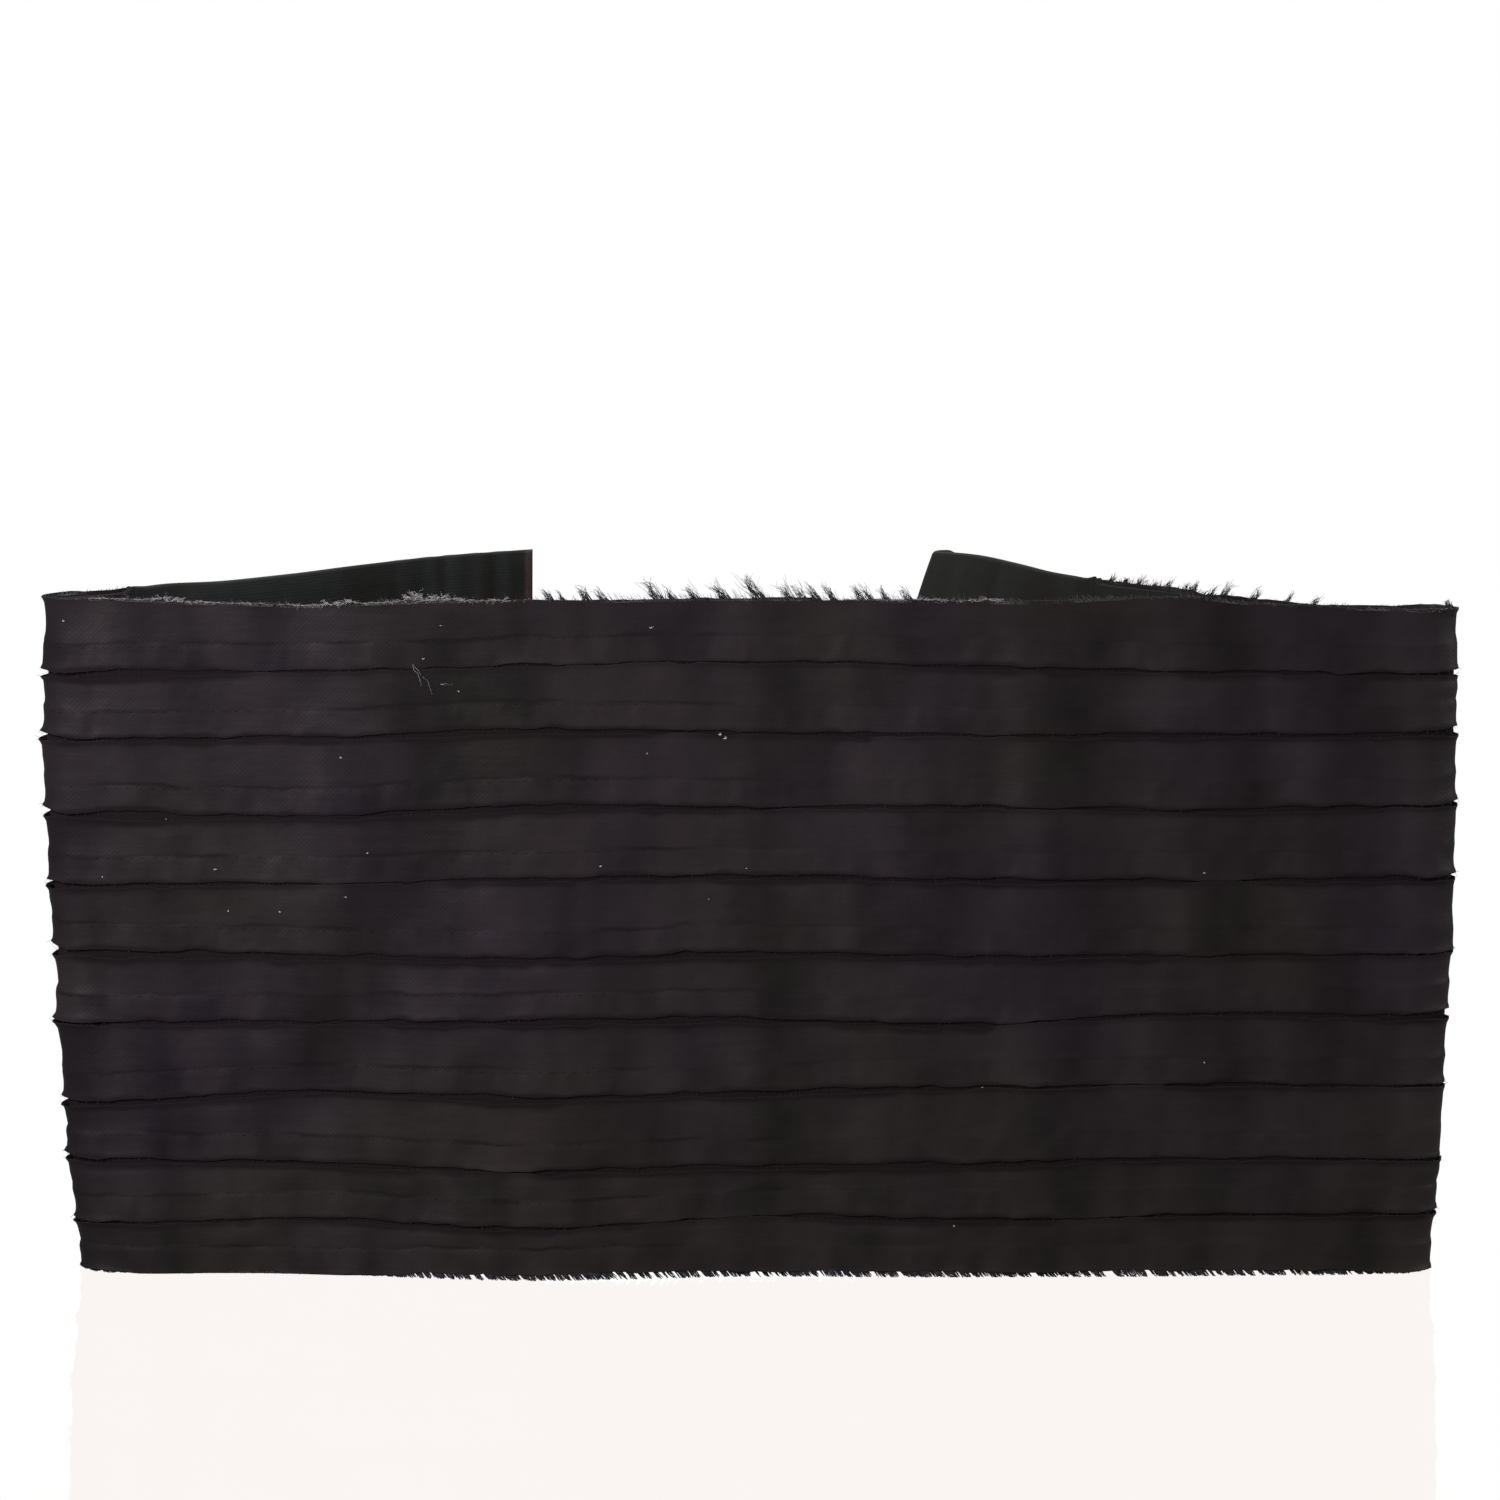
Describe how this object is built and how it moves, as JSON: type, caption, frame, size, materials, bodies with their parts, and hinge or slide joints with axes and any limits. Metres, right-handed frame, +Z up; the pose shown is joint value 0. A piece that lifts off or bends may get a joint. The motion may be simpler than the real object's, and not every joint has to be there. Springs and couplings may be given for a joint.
{
  "type": "cummerbund",
  "caption": "Black cummerbund of raw-edged horizontal strips with frayed upper and lower edges and plain back panels, standing by itself and open at the back.",
  "frame": {"origin": "middle of the bounding box, on the surface that the lower edge stands on", "axes": "+X to the right along the front, +Y from the front to the open back, +Z up"},
  "size_m": [0.3642, 0.1114, 0.1817],
  "materials": {
    "pleated_cloth": "soft satin sheen, raw edges",
    "plain_cloth": "matt",
    "frayed_thread": "matt, loose fibres"
  },
  "bodies": {
    "root": {"foundation": "pleated_cloth", "back_panel_left": "plain_cloth", "back_panel_right": "plain_cloth", "fringe_top": "frayed_thread", "fringe_bottom": "frayed_thread", "pleat_01": "pleated_cloth", "pleat_02": "pleated_cloth", "pleat_03": "pleated_cloth", "pleat_04": "pleated_cloth", "pleat_05": "pleated_cloth", "pleat_06": "pleated_cloth", "pleat_07": "pleated_cloth", "pleat_08": "pleated_cloth", "pleat_09": "pleated_cloth", "pleat_10": "pleated_cloth"}
  },
  "joints": []
}
